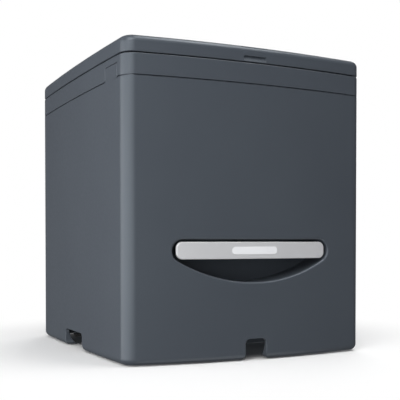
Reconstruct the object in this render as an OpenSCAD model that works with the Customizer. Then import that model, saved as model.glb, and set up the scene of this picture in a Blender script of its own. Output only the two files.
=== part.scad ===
// A boxy composting toilet that stands on the floor. A tall tub holds a liquid bottle in front and a solids
// bin behind. The seat housing hinges at the back of the tub and carries the bowl, and the lid hinges on it.
// The bar in the recess of the front pulls out on a stem that reaches through to the agitator of the bin.
// Frame: +Z up, floor at z = 0, the front faces -Y, the middle of the width is x = 0.

/* [Shell outline] */
// Width between the two front corners, where the tub meets the seat housing
corner_w = 368.4; // [350:0.2:390]
// How far each side swells out beyond its front corner
side_swell = 10.9; // [8:0.1:16]
// Distance from the front corners back to the widest place
swell_y = 310; // [280:1:330]
// Depth of the shell from the middle of its front to the middle of its back
shell_d = 417.4; // [400:0.2:440]
// Bow of the front across its width, at the seam
front_bow = 12.6; // [6:0.1:16]
// Bow of the front across its width, at the floor
front_bow_floor = 16.4; // [12:0.1:20]
// Bow of the back across its width
rear_bow = 4; // [2:0.5:6]
// Radius of the two front corners
front_corner_r = 19; // [12:1:24]
// Radius of the two rear corners
rear_corner_r = 37; // [30:1:50]
// Lean of the walls inwards towards the floor, in degrees
draft = 0.7; // [0.5:0.05:1]
// Wall of the moulded shells
wall = 3.2; // [2.4:0.1:4]

/* [Heights] */
// How far the rubber feet hold the tub off the floor
foot_proud = 1.2; // [0.8:0.1:3]
// Height of the tub
tub_h = 369.8; // [350:0.2:385]
// Height of the seat housing
band_h = 28.3; // [27:0.1:34]
// Height of the lid at its edge
lid_h = 22.9; // [20:0.1:26]
// Rise of the lid's top from its edge to its middle
lid_crown = 1; // [0:0.2:3]
// Joint line between tub and seat housing
seam_gap = 0.4; // [0.3:0.1:1]
// Open gap between seat housing and lid
lid_gap = 1.4; // [1:0.1:2]
// Radius of the tub's lower edge
floor_round = 8.4; // [5:0.2:12]
// Radius of the lid's upper edge
lid_round = 9.2; // [6:0.2:10]
// Rounding of the edges along the gap below the lid
edge_round = 1.4; // [0.6:0.1:2]
// Height of the underside of the tub's bottom plate
bottom_z = 31; // [30:1:36]
// Thickness of the tub's bottom plate
bottom_t = 3; // [2:0.5:4]

/* [Notches and tabs] */
// Width of the notch at the bottom of the front
front_notch_w = 32; // [24:1:44]
// Height of that notch
front_notch_h = 27.4; // [18:0.2:28]
// Length of the grip notch at the bottom of each side
side_notch_w = 79; // [70:1:100]
// Height of the side notches
side_notch_h = 25; // [18:1:28]
// Middle of the side notches, behind the front corners
side_notch_y = 203; // [180:1:230]
// Corner radius of the notches
notch_r = 7; // [4:1:10]
// Length of the tab that rises from each side of the tub
tab_w = 40; // [28:1:50]
// Height of the tabs above the seam
tab_h = 18.4; // [12:0.2:20]
// Front edge of the tabs, behind the front corners
tab_y = 24; // [22:1:34]
// Width of the finger notch in the front of the lid
finger_w = 35; // [28:1:44]
// Height of the finger notch
finger_h = 8.2; // [5:0.1:10]

/* [Handle] */
// Half length of the handle recess
recess_l = 118.8; // [117:0.2:124]
// Height of the recess's straight upper edge above the tub's lower edge
recess_top = 159.4; // [158:0.1:164]
// Radius of the ends of the recess
recess_end_r = 15; // [13:0.5:16]
// Depth of the finger room, from the upper edge to the lowest point
recess_h = 57.1; // [50:0.1:60]
// How far the recess goes in, from the middle of the front
recess_d = 49.7; // [45:0.1:52]
// Length of the handle bar
bar_l = 226.8; // [200:0.2:227]
// Height of the handle bar
bar_h = 22.9; // [18:0.1:24]
// Corner radius of the bar's ends
bar_r = 8.5; // [6:0.5:11]
// Gap between the bar and the upper edge of the recess
bar_gap = 3.1; // [2:0.1:4]
// How far the bar's face lies behind the shell's face
bar_inset = 1; // [0.4:0.1:3]
// Thickness of the silver bar
bar_t = 5; // [3:0.5:7]
// Thickness of the grip core behind it
grip_t = 10; // [7:0.5:14]
// Radius of the steel stem
stem_r = 6; // [5:0.5:7]
// How far the handle pulls out to free the bin
handle_travel = 75; // [70:1:80]

/* [Solids bin] */
// Width of the bin
bin_w = 330; // [300:1:336]
// Depth of the bin, front to back
bin_d = 198; // [180:1:204]
// Gap between the bin's rim and the filter behind it
bin_gap = 1.2; // [1:0.1:3]
// Radius of the bin's trough round the agitator
trough_r = 95; // [90:1:100]
// How far the bin's rim lies below the tub's upper edge
bin_drop = 51; // [48:1:70]
// Wall of the bin and of the bottle
tank_wall = 3; // [2:0.2:3.6]
// Radius swept by the paddles
sweep_r = 90; // [80:1:92]
// Outer radius of the agitator's tubular shaft
shaft_r = 10; // [9:0.5:12]
// Number of paddle pairs along the shaft
paddle_pairs = 3; // [2:1:4]

/* [Liquid bottle] */
// Width of the bottle
bottle_w = 320; // [280:1:326]
// Gap between the bottle and the wall of the handle recess
bottle_room = 8.4; // [6:0.2:16]
// Gap between the bottle and the bin's face
bottle_gap = 14; // [12:1:18]
// How far the bottle's shoulder lies below the tub's upper edge
bottle_drop = 103; // [98:1:130]
// Radius of the bottle's upright corners
bottle_corner_r = 4; // [3:0.5:18]
// Outer radius of the bottle's neck
neck_r = 30; // [26:1:34]

/* [Bowl and trap] */
// Half width of the seat opening
seat_a = 112; // [100:1:118]
// Half length of the seat opening
seat_b = 138; // [125:1:144]
// Middle of the seat opening
seat_y = -20; // [-26:1:-14]
// Depth of the bowl, from the deck to its floor
bowl_depth = 47.7; // [44:0.1:52]
// Width of the opening that the trap flap closes
trap_w = 108; // [90:1:112]
// Length of that opening
trap_l = 84; // [70:1:86]
// Opening angle of the trap flap, in degrees
trap_open = 75; // [60:1:78]
// Length of the trap lever from its pin to its knob
lever_l = 56; // [50:1:60]

/* [Fan and vent] */
// Side of the square fan frame
fan_w = 80; // [60:1:84]
// Thickness of the fan frame
fan_t = 25; // [15:1:26]
// How far the fan's axis lies below the tub's upper edge
fan_drop = 53; // [50:1:70]
// Number of blades
fan_blades = 7; // [5:1:9]
// Outer radius of the vent collar that takes a hose
collar_r = 20; // [16:0.5:24]
// How far the collar stands out from its flange
collar_l = 13.9; // [10:0.1:16]

/* [Hinges] */
// Distance of the two hinge axes behind the middle of the shell's back
hinge_out = 6; // [6:0.2:8]
// Radius of the hinge barrels
barrel_r = 5.4; // [4.5:0.1:5.4]
// Radius of the hinge pins
hinge_pin_r = 2.5; // [1.5:0.1:3]
// Distance of the two hinges from the middle
hinge_x = 110; // [80:1:130]
// Width of a hinge leaf
leaf_w = 44; // [36:1:54]

/* [Hidden] */
$fn = 64;

// Clearances shared by the pieces that meet
seat_fit = 0.3;
run_fit = 0.05;
screw_fit = 0.1;
e = 0.01;

// Heights worked out from the stack
tub_z = foot_proud;
tub_top = tub_z + tub_h;
seam_z = tub_top + seam_gap / 2;
band_z = tub_top + seam_gap;
deck_z = band_z + band_h;
gap_z = deck_z + lid_gap / 2;
lid_z = deck_z + lid_gap;
lid_top = lid_z + lid_h;
floor_z = bottom_z + bottom_t;
deck_t = wall;
bin_top = tub_top - bin_drop;
bottle_top = tub_top - bottle_drop;
bowl_z = deck_z - bowl_depth;
fan_z = tub_top - fan_drop;

// The origin lies in the middle of the whole depth, from the front to the end of the vent collar
flange_t = 3;
flange_sink = 1;
collar_out = collar_l + flange_t - flange_sink + lean(fan_z);
front_y = -(shell_d + collar_out) / 2;
rear_y = front_y + shell_d;
corner_y = front_y + front_bow;

// The fan, the filter and the bin stand in a row in front of the back wall
filter_t = 12;
bin_rim = 7;
fan_rear = back(fan_z) - wall - 3;
fan_front = fan_rear - fan_t;
bin_rear = fan_front - filter_t - bin_gap - bin_rim;
bin_front = bin_rear - bin_d;

// The handle, its stem and the agitator share one axis
bar_z = tub_z + recess_top - bar_gap - bar_h / 2;
axis_z = bar_z;
recess_z = tub_z + recess_top;
recess_back = front_y + recess_d;

// The hinges at the back
hinge_y = rear_y + hinge_out;
flat_y = rear_y - 2.8;
leaf_t = 3.4;
ear_w = 9;
screw_r = 2;

// ---------------------------------------------------------------- outline of the shells

function lean(z) = tan(draft) * (z - seam_z);
function corner_x(z) = corner_w / 2 + lean(z);
function bow(z) = front_bow_floor + (front_bow - front_bow_floor) * (z - tub_z) / tub_h;
function back(z) = rear_y + lean(z);
function front_corner_y(z) = corner_y - lean(z);
function bow_radius(half, rise) = (half * half + rise * rise) / (2 * rise);

// The far meeting point of two circles, to the right of the line from c to d
function meet(c, rc, d, rd) =
    let (l = norm(d - c), a = (rc * rc - rd * rd + l * l) / (2 * l), h = sqrt(rc * rc - a * a))
    c + (d - c) * a / l + [(d - c).y, -(d - c).x] * h / l;
function bearing(from, to) = atan2(to.y - from.y, to.x - from.x);
function arc(c, r, a0, a1, steps, last = 1) =
    [for (i = [0 : steps - 1 + last]) let (a = a0 + (a1 - a0) * i / steps) c + r * [cos(a), sin(a)]];

// Right half of the outline at height z, drawn in by inset: four large arcs joined by the corner arcs
function half_outline(z, inset) =
    let (
        x0 = corner_x(z),
        rf = bow_radius(x0, bow(z)),
        rs = bow_radius(swell_y, side_swell),
        rr = bow_radius(x0, rear_bow),
        cf = [0, front_corner_y(z) - bow(z) + rf],
        cs = [x0 + side_swell - rs, front_corner_y(z) + swell_y],
        cr = [0, back(z) - rr],
        r1 = max(front_corner_r, inset + 3),
        r2 = max(rear_corner_r, inset + 3),
        p1 = meet(cf, rf - r1, cs, rs - r1),
        front = p1.y < cs.y ? p1 : meet(cs, rs - r1, cf, rf - r1),
        p2 = meet(cs, rs - r2, cr, rr - r2),
        rear = p2.x > 0 && p2.y > 0 ? p2 : meet(cr, rr - r2, cs, rs - r2)
    )
    concat(
        arc(cf, rf - inset, -90, bearing(cf, front), 8, 0),
        arc(front, r1 - inset, bearing(cf, front), bearing(cs, front), 7, 0),
        arc(cs, rs - inset, bearing(cs, front), bearing(cs, rear), 11, 0),
        arc(rear, r2 - inset, bearing(cs, rear), bearing(cr, rear), 8, 0),
        arc(cr, rr - inset, bearing(cr, rear), 90, 4)
    );
function outline(z, inset) =
    let (h = half_outline(z, inset), n = len(h))
    concat(h, [for (i = [n - 2 : -1 : 1]) [-h[i].x, h[i].y]]);

// A closed solid through a stack of rings with equally many points
module loft(rings) {
    n = len(rings[0]);
    m = len(rings);
    polyhedron(
        points = [for (r = rings) each r],
        faces = concat(
            [[for (i = [0 : n - 1]) i]],
            [[for (i = [n - 1 : -1 : 0]) (m - 1) * n + i]],
            [for (k = [0 : m - 2], i = [0 : n - 1]) let (j = (i + 1) % n)
                each [[k * n + i, k * n + n + i, k * n + n + j], [k * n + i, k * n + n + j, k * n + j]]]
        )
    );
}

// A shell-shaped solid from [z, inset] pairs. The outline follows the lean of the walls
module shell_solid(levels) {
    loft([for (l = levels) [for (p = outline(l[0], l[1])) [p.x, p.y, l[0]]]]);
}

// A quarter round between two levels, as [z, inset] pairs
function round_up(z, r, inset = 0, steps = 5) =
    [for (i = [0 : steps]) [z + r * (1 - cos(90 * i / steps)), inset + r * (1 - sin(90 * i / steps))]];
function round_over(z, r, inset = 0, steps = 4) =
    [for (i = [0 : steps]) [z - r * (1 - sin(90 * i / steps)), inset + r * (1 - cos(90 * i / steps))]];

// ---------------------------------------------------------------- plain shapes

module along_x(x0, x1, r, y = 0, z = 0) {
    translate([x0, y, z]) rotate([0, 90, 0]) cylinder(r = r, h = x1 - x0);
}
module along_y(y0, y1, r, x = 0, z = 0) {
    translate([x, y0, z]) rotate([-90, 0, 0]) cylinder(r = r, h = y1 - y0);
}
module along_z(z0, z1, r, x = 0, y = 0) {
    translate([x, y, z0]) cylinder(r = r, h = z1 - z0);
}
module block(x, y, z) {
    translate([x[0], y[0], z[0]]) cube([x[1] - x[0], y[1] - y[0], z[1] - z[0]]);
}
// Rectangle with round corners, about its middle
module round_rect(w, d, r) {
    square([w - 2 * r, d], center = true);
    square([w, d - 2 * r], center = true);
    for (i = [-1, 1], j = [-1, 1]) translate([i * (w / 2 - r), j * (d / 2 - r)]) circle(r = r);
}
// Turns a flat shape drawn in x and z into a slab from y0 to y1
module upright(y0, y1) {
    translate([0, y1, 0]) rotate([90, 0, 0]) linear_extrude(y1 - y0) children();
}
// Turns a flat shape drawn in y and z into a slab from x0 to x1
module sideways(x0, x1) {
    translate([x0, 0, 0]) rotate([90, 0, 90]) linear_extrude(x1 - x0) children();
}
module both_sides() {
    children();
    mirror([1, 0, 0]) children();
}
module pan_screw(l) {
    along_z(-l, 0, screw_r);
    along_z(0, 1.4, 2 * screw_r);
    translate([0, 0, 1.4]) cylinder(r1 = 2 * screw_r, r2 = 1.2 * screw_r, h = 0.9);
}

// Egg-like ring of the seat opening: a superellipse with half sizes a and b
function seat_ring(a, b, y, z, steps = 56) =
    [for (i = [0 : steps - 1]) let (t = 360 * i / steps, c = cos(t), s = sin(t), q = 2 / 2.4)
        [a * sign(c) * pow(abs(c), q), y + b * sign(s) * pow(abs(s), q), z]];
module seat_solid(levels) {
    loft([for (l = levels) seat_ring(l[1], l[2], l[3], l[0])]);
}

// ---------------------------------------------------------------- tub

// Outline of the smile-shaped recess, grown by g: a straight top, two round ends and one long lower arc
module recess_shape(g = 0) {
    end_c = [recess_l - recess_end_r, recess_z - recess_end_r];
    drop = recess_h - recess_end_r;
    low_r = (pow(norm([end_c.x, drop]), 2) - recess_end_r * recess_end_r) / (2 * (drop - recess_end_r));
    low_c = [0, recess_z - recess_h + low_r];
    a = bearing(low_c, end_c);
    polygon(concat(
        arc(end_c, recess_end_r + g, 90, a, 18, 0),
        arc(low_c, low_r + g, a, -180 - a, 36, 0),
        arc([-end_c.x, end_c.y], recess_end_r + g, -180 - a, -270, 18)
    ));
}

// A notch that opens downwards, with flared lower corners, drawn about x = 0 from the height z0
module notch_shape(w, h, z0) {
    translate([0, z0 + h / 2]) round_rect(w, h, notch_r);
    translate([-w / 2, z0 - 2]) square([w, h / 2]);
    for (i = [-1, 1]) difference() {
        translate([i * (w + notch_r) / 2, z0 + notch_r / 2 - 1])
            square([notch_r + e, notch_r + 2], center = true);
        translate([i * (w / 2 + notch_r), z0 + notch_r]) circle(r = notch_r);
    }
}

// The tab that rises from the side wall into the seat housing, drawn in y and z, grown by g
module tab_shape(g) {
    y0 = corner_y + tab_y - 2 * g;
    y1 = corner_y + tab_y + tab_w + g;
    top = seam_z + tab_h + g;
    r = 6;
    difference() {
        translate([y0, tub_top - 1]) square([y1 - y0, top - tub_top + 1]);
        translate([y1 - r, top - r]) difference() {
            square(r + 1);
            circle(r = r);
        }
    }
}

module tub_underside() {
    // The wall thickens and curls in towards the floor
    shell_solid([
        [tub_z - 2, floor_round + 11], [tub_z + 2, floor_round + 7], [tub_z + 9, floor_round + 1.5],
        [tub_z + 18, wall + 3], [bottom_z, wall + 1]
    ]);
}

// Flats that the hinge leaves are screwed to, and the thicker wall behind them, grown by g
module hinge_flats(z0, z1) {
    half = leaf_w / 2 + 0.5;
    both_sides() block([hinge_x - half, hinge_x + half], [flat_y, rear_y + 20], [z0, z1]);
}
module hinge_backing(z0, z1, g) {
    half = leaf_w / 2 + 2 + g;
    both_sides() block([hinge_x - half, hinge_x + half], [flat_y - wall - g, flat_y + 6 * g], [z0, z1]);
}

module base_tub() {
    color("#4b4f57") difference() {
        union() {
            difference() {
                shell_solid(concat(round_up(tub_z, floor_round), [[tub_top - 0.6, 0], [tub_top, 0.4]]));
                shell_solid([[floor_z, wall + 4], [floor_z + 5, wall], [tub_top + 1, wall]]);
                tub_underside();
            }
            // Side tabs
            intersection() {
                difference() {
                    shell_solid([[tub_top - 1, 0], [deck_z, 0]]);
                    shell_solid([[tub_top - 2, wall], [deck_z + 1, wall]]);
                }
                both_sides() sideways(corner_w / 4, corner_w) tab_shape(0);
            }
            // Housing of the handle recess, trimmed to the inside of the shell
            intersection() {
                upright(front_y, recess_back + wall) recess_shape(wall);
                shell_solid([[tub_z, wall / 2], [tub_top, wall / 2]]);
            }
            along_y(recess_back, recess_back + 10 + wall, 2 * stem_r, 0, axis_z);
            // Flat seats inside for the fan and for the nut of the power inlet
            upright(fan_rear, back(fan_z) - wall / 2) translate([0, fan_z]) square(fan_w + 6, center = true);
            along_y(fan_rear, back(fan_z) - wall / 2, inlet_r + 6, inlet_x, fan_z);
            hinge_backing(tub_top - 36, tub_top - 1, 0);
            // Bosses of the feet, and ribs under the bottom plate
            foot_places() along_z(foot_h, bottom_z + 1, 14);
            for (y = [corner_y + 83.7, rear_y - 81])
                translate([0, y, 0])
                    block([44.2 - corner_w / 2, corner_w / 2 - 44.2], [-1.2, 1.2], [tub_z + 8, bottom_z + 1]);
            both_sides() translate([corner_w / 2 - 94.2, 0, 0])
                block([-1.2, 1.2], [corner_y + 53.7, rear_y - 51], [tub_z + 8, bottom_z + 1]);
            // Low rib on the bottom plate between the bottle and the bin
            block([-bin_w / 2, bin_w / 2], [bottle_rear + 2, bottle_rear + 6], [floor_z - 1, floor_z + 26]);
        }
        upright(front_y - 10, recess_back) recess_shape(0);
        along_y(recess_back - 1, recess_back + 20, bush_r, 0, axis_z);
        upright(front_y - 10, corner_y + 24) notch_shape(front_notch_w, front_notch_h, tub_z);
        translate([0, corner_y + side_notch_y, 0]) for (i = [0, 1]) mirror([i, 0, 0])
            sideways(corner_w / 2 - 34, corner_w) notch_shape(side_notch_w, side_notch_h, tub_z);
        along_y(rear_y - 30, rear_y + 10, collar_r + seat_fit, 0, fan_z);
        along_y(rear_y - 30, rear_y + 10, inlet_r, inlet_x, fan_z);
        // Flat seats outside for the flange of the vent collar and for the power inlet
        along_y(collar_y, rear_y + 10, flange_r + 0.6, 0, fan_z);
        along_y(collar_y, rear_y + 10, inlet_r + 3, inlet_x, fan_z);
        foot_places() along_z(foot_h - 1, foot_h + 9, foot_peg_r);
        hinge_flats(tub_top - 34, tub_top + 5);
    }
}

// Feet and the places they stand at
foot_h = 6;
foot_peg_r = 4;
module foot_places() {
    both_sides() for (y = [corner_y + 42, rear_y - 55]) translate([corner_w / 2 - 49.2, y, 0]) children();
}
module rubber_feet() {
    color("#26282b") foot_places() {
        cylinder(r1 = 10.5, r2 = 12, h = foot_h);
        along_z(foot_h, foot_h + 8, foot_peg_r);
    }
}

// ---------------------------------------------------------------- handle

bush_r = stem_r + 3;
bar_face = front_corner_y(bar_z) - bow(bar_z) + bar_inset;
bar_curve = bow_radius(corner_x(bar_z), bow(bar_z));

// A slab that follows the bow of the front, from one depth behind the face to another
module bowed_slab(d0, d1, z0, z1) {
    translate([0, bar_face + bar_curve, 0]) difference() {
        along_z(z0, z1, bar_curve - d0, $fn = 256);
        along_z(z0 - 1, z1 + 1, bar_curve - d1, $fn = 256);
    }
}
module bar_prism(w, h, r) {
    upright(bar_face - 5, bar_face + 60) translate([0, bar_z]) round_rect(w, h, r);
}

module handle_bar() {
    color("#b8b9bb") intersection() {
        bowed_slab(0, bar_t, bar_z - bar_h, bar_z + bar_h);
        bar_prism(bar_l, bar_h, bar_r);
    }
}

grip_lip = 3;
module handle_grip() {
    hub_y = bar_face + bar_t + grip_t;
    color("#3a3d42") difference() {
        union() {
            intersection() {
                bowed_slab(bar_t, bar_t + grip_t, bar_z - bar_h, bar_z + bar_h);
                bar_prism(bar_l - 2 * grip_lip, bar_h - 2 * grip_lip, bar_r - grip_lip + 1);
            }
            along_y(hub_y - 4, hub_y + 8, bar_h / 2 - grip_lip, 0, bar_z);
        }
        along_y(bar_face + bar_t + 3, hub_y + 20, stem_r, 0, bar_z);
    }
}

stem_y0 = bar_face + bar_t + 3;
stem_y1 = bin_front + handle_travel - 9;
module handle_stem() {
    color("#a7abb0") {
        along_y(stem_y0, stem_y1 - 2, stem_r, 0, axis_z);
        translate([0, stem_y1 - 2, axis_z]) rotate([-90, 0, 0])
            cylinder(r1 = stem_r, r2 = stem_r - 1.5, h = 2);
    }
}

module stem_bush() {
    color("#d9d7cf") difference() {
        union() {
            along_y(recess_back, recess_back + 10 + wall, bush_r, 0, axis_z);
            along_y(recess_back - 2, recess_back, bush_r + 3, 0, axis_z);
        }
        along_y(recess_back - 3, recess_back + 20, stem_r + run_fit, 0, axis_z);
    }
}

// ---------------------------------------------------------------- solids bin and agitator

bin_corner_r = 24;
trough_top = bin_top - 105;

// Cross-section of the bin in x and z: a round trough whose sides spread to the full width
module bin_section(w, r, top) {
    p = [w / 2, trough_top - axis_z];
    a = atan2(p.y, p.x) - acos(r / norm(p));
    translate([0, axis_z]) polygon(concat(
        [[w / 2, top - axis_z], p],
        arc([0, 0], r, a, -180 - a, 40),
        [[-p.x, p.y], [-w / 2, top - axis_z]]
    ));
}
module bin_body(g, top) {
    intersection() {
        upright(bin_front + g, bin_rear - g) bin_section(bin_w - 2 * g, trough_r + tank_wall - g, top);
        translate([0, (bin_front + bin_rear) / 2, 0]) linear_extrude(top + 10)
            round_rect(bin_w - 2 * g, bin_d - 2 * g, bin_corner_r - g);
    }
}
module bin_ring(out, in, z0, z1) {
    translate([0, (bin_front + bin_rear) / 2, z0]) linear_extrude(z1 - z0) difference() {
        round_rect(bin_w + 2 * out, bin_d + 2 * out, bin_corner_r + out);
        round_rect(bin_w - 2 * in, bin_d - 2 * in, bin_corner_r - in);
    }
}

module solids_bin() {
    color("#2b2d31") difference() {
        union() {
            bin_body(0, bin_top);
            bin_ring(bin_rim, 1, bin_top - 3, bin_top);
            // Two skids that the bin stands on
            intersection() {
                for (x = [-62, 62]) block([x - 2, x + 2], [bin_front, bin_rear], [floor_z, axis_z]);
                block([-100, 100], [bin_front + 10, bin_rear - 10], [floor_z, axis_z - trough_r / 2]);
            }
            along_y(bin_rear - 1, bin_rear + bin_rim, shaft_r + 6, 0, axis_z);
        }
        bin_body(tank_wall, bin_top + 5);
        along_y(bin_front - 1, bin_front + 10, bush_out, 0, axis_z);
        along_y(bin_rear - 10, bin_rear + 5, bush_out - 1, 0, axis_z);
    }
}

seal_h = 3;
module bin_seal() {
    color("#1c1d1f") bin_ring(3, 2, bin_top, bin_top + seal_h);
}

bush_out = shaft_r + 2.5;
module front_shaft_bush() {
    color("#d9d7cf") difference() {
        union() {
            along_y(bin_front - 3, bin_front + tank_wall + 4, bush_out, 0, axis_z);
            along_y(bin_front - 3, bin_front, bush_out + 4, 0, axis_z);
        }
        along_y(bin_front - 5, bin_front + 20, shaft_r + run_fit, 0, axis_z);
    }
}
module rear_shaft_bush() {
    color("#d9d7cf") difference() {
        along_y(bin_rear - tank_wall - 2, bin_rear + 5, bush_out - 1, 0, axis_z);
        along_y(bin_rear - 20, bin_rear + 3.5, shaft_r + run_fit, 0, axis_z);
    }
}
module shaft_seal() {
    seal_y = bin_front + tank_wall + 4;
    color("#1c1d1f") difference() {
        along_y(seal_y, seal_y + 4, bush_out + 3, 0, axis_z);
        along_y(seal_y - 1, seal_y + 5, shaft_r + run_fit, 0, axis_z);
    }
}

shaft_y0 = bin_front - 6;
shaft_y1 = bin_rear + 3;
module agitator_shaft() {
    color("#8d9196") difference() {
        along_y(shaft_y0, shaft_y1, shaft_r, 0, axis_z);
        along_y(shaft_y0 - 1, stem_y1 + 4, stem_r + run_fit, 0, axis_z);
    }
}

hub_l = 20;
arm_t = 6;
arm_w = 14;
shoe_t = 8;
shoe_l = 34;
module agitator_paddles() {
    first = bin_front + 34;
    last = bin_rear - 26;
    step = (last - first) / (paddle_pairs - 1);
    color("#c9c7bf") for (i = [0 : paddle_pairs - 1]) translate([0, first + i * step, axis_z])
        rotate([0, i * 180 / paddle_pairs, 0]) difference() {
            union() {
                along_y(-hub_l / 2, hub_l / 2, shaft_r + 5);
                // Two arms, each with a shoe along its tip
                for (s = [0, 180]) rotate([0, s, 0]) {
                    block([-arm_t / 2, arm_t / 2], [-arm_w / 2, arm_w / 2], [0, sweep_r - shoe_t]);
                    intersection() {
                        block(
                            [-shoe_t / 2, shoe_t / 2], [-shoe_l / 2, shoe_l / 2],
                            [sweep_r - shoe_t - 1, sweep_r + 1]);
                        along_y(-shoe_l, shoe_l, sweep_r);
                    }
                }
            }
            along_y(-hub_l, hub_l, shaft_r);
        }
}

// ---------------------------------------------------------------- liquid bottle

bottle_rear = bin_front - bottle_gap;
bottle_front_y = recess_back + wall + bottle_room;
bottle_d = bottle_rear - bottle_front_y;
bottle_mid = bottle_rear - bottle_d / 2;
channel_w = 4 * stem_r + 4;
channel_top = axis_z + 2 * stem_r + 4;
neck_top = bottle_top + 24;
neck_y = bottle_mid + 6;

// The bottle seen from the front, drawn in by g, with sloping shoulders and a channel astride the stem
module bottle_front(g) {
    w = bottle_w / 2 - g;
    slope = 26;
    difference() {
        polygon([
            [-w, floor_z + g], [w, floor_z + g], [w, bottle_top - slope - g], [w - slope, bottle_top - g],
            [slope - w, bottle_top - g], [-w, bottle_top - slope - g]
        ]);
        translate([-channel_w / 2 - g, floor_z - 1])
            square([channel_w + 2 * g, channel_top - channel_w / 2 - floor_z + 1]);
        translate([0, channel_top - channel_w / 2]) circle(r = channel_w / 2 + g);
    }
}
module bottle_body(g) {
    intersection() {
        upright(bottle_front_y + g, bottle_rear - g) bottle_front(g);
        translate([0, bottle_mid, floor_z - 1]) linear_extrude(bottle_top)
            round_rect(bottle_w - 2 * g, bottle_d - 2 * g, bottle_corner_r - g);
    }
}
module liquid_bottle() {
    wall_b = tank_wall - 0.4;
    grip_x = 96;
    color("#dfe3e3", 0.9) difference() {
        union() {
            bottle_body(0);
            along_z(bottle_top - 4, neck_top, neck_r, 0, neck_y);
            along_z(neck_top - 9, neck_top - 6, neck_r + 3, 0, neck_y);
            // Carrying grips on both shoulders
            both_sides() upright(bottle_mid - 9, bottle_mid + 9)
                translate([grip_x, bottle_top]) difference() {
                    translate([0, 9]) round_rect(74, 30, 10);
                    translate([0, 5]) round_rect(58, 22, 8);
                }
        }
        bottle_body(wall_b);
        along_z(bottle_top - 10, neck_top + 1, neck_r - wall_b, 0, neck_y);
    }
}

// ---------------------------------------------------------------- seat housing, bowl and trap

hinge_pin_z = bowl_z - 9;
flap_y = seat_y + seat_b - 26;
lever_x = seat_a + 28;
lever_tilt = trap_open / 2;
trap_pin_r = 2.5;
bowl_wall = 3;
rim_w = 7;
rim_t = 2;
rib_in = wall + 1;

module seat_housing() {
    skirt_z = tub_top - 6;
    step_z = band_z + 4;
    slot_l = 2 * lever_l * sin(lever_tilt) + 20;
    color("#4f545c") difference() {
        union() {
            difference() {
                shell_solid(concat([[band_z, 0.4], [band_z + 0.6, 0]], round_over(deck_z, edge_round)));
                both_sides() sideways(corner_w / 4, corner_w) tab_shape(0.6);
            }
            // Skirt that locates the housing inside the tub, and the pockets behind the tabs
            shell_solid([[skirt_z, rib_in + 0.8], [skirt_z + 1.5, rib_in], [deck_z - deck_t, rib_in]]);
        }
        hinge_backing(skirt_z - 1, band_z, 1);
        shell_solid([[skirt_z - 1, rib_in + 2.8], [step_z, rib_in + 2.8]]);
        difference() {
            shell_solid([[step_z - e, wall], [deck_z - deck_t, wall]]);
            difference() {
                both_sides() sideways(corner_w / 4, corner_w) translate([0, -1]) tab_shape(3);
                shell_solid([[tub_top, rib_in + 2.8], [deck_z, rib_in + 2.8]]);
            }
        }
        seat_solid([
            [deck_z - 20, seat_a + 0.6, seat_b + 0.6, seat_y],
            [deck_z + 5, seat_a + 0.6, seat_b + 0.6, seat_y]
        ]);
        seat_solid([
            [deck_z - rim_t, seat_a + rim_w, seat_b + rim_w, seat_y],
            [deck_z + 5, seat_a + rim_w, seat_b + rim_w, seat_y]
        ]);
        // Slot of the trap lever
        translate([lever_x, flap_y, deck_z - 10]) linear_extrude(20) round_rect(19, slot_l, 8);
        hinge_flats(band_z - 12, deck_z + 1);
    }
    color("#4f545c") hinge_backing(band_z + 1, deck_z - 1, 0);
}

function bowl_levels(g) = [
    [bowl_z, seat_a - 33 + g, seat_b - 33 + g, seat_y + 7],
    [bowl_z + 5, seat_a - 25 + g, seat_b - 25 + g, seat_y + 6],
    [bowl_z + 18, seat_a - 14 + g, seat_b - 14 + g, seat_y + 3],
    [deck_z - 8, seat_a - 5 + g, seat_b - 5 + g, seat_y],
    [deck_z - 2, seat_a - 3.4 + g, seat_b - 3.4 + g, seat_y]
];
dish_y = seat_y - 58;
drain_y = neck_y;
drain_r = 10;
drain_z = bowl_z - 20;
function dish(g) = [
    [drain_z - g, drain_r + g, drain_r + g, drain_y],
    [drain_z + 8, 34 + g, 24 + g, drain_y + 8],
    [bowl_z - 4, 66 + g, 40 + g, dish_y],
    [bowl_z + 1, 70 + g, 44 + g, dish_y]
];
trap_y = flap_y - 10 - trap_l / 2;

module diverter_bowl() {
    color("#e9ebea") difference() {
        union() {
            difference() {
                union() {
                    seat_solid(concat(
                        [[bowl_z - bowl_wall, seat_a - 35, seat_b - 35, seat_y + 7]],
                        [for (l = bowl_levels(bowl_wall)) if (l[0] < deck_z - 4) l],
                        [[deck_z, seat_a, seat_b, seat_y]]
                    ));
                    seat_solid([
                        [deck_z - rim_t, seat_a + rim_w - seat_fit, seat_b + rim_w - seat_fit, seat_y],
                        [deck_z, seat_a + rim_w - seat_fit - 0.6, seat_b + rim_w - seat_fit - 0.6, seat_y]
                    ]);
                    seat_solid(dish(bowl_wall));
                }
                seat_solid(concat(bowl_levels(0), [[deck_z + 5, seat_a - 2, seat_b - 2, seat_y]]));
            }
            // Low ridge between the dish and the trap
            intersection() {
                along_x(-seat_a, seat_a, 9, trap_y - trap_l / 2 - 12, bowl_z - 2);
                seat_solid([
                    [bowl_z - bowl_wall, seat_a - 34, seat_b - 34, seat_y + 7],
                    [bowl_z + 12, seat_a - 20, seat_b - 20, seat_y + 5]
                ]);
            }
        }
        seat_solid(dish(0));
        along_z(drain_z - 20, drain_z + 1, drain_r, 0, drain_y);
        translate([0, trap_y, bowl_z - 10]) linear_extrude(20) round_rect(trap_w, trap_l, 14);
    }
}

spout_z = neck_top - 6;
module bowl_spout() {
    color("#e9ebea") difference() {
        along_z(spout_z, drain_z - bowl_wall, drain_r + 2.4, 0, drain_y);
        along_z(spout_z - 1, drain_z, drain_r, 0, drain_y);
    }
}

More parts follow.
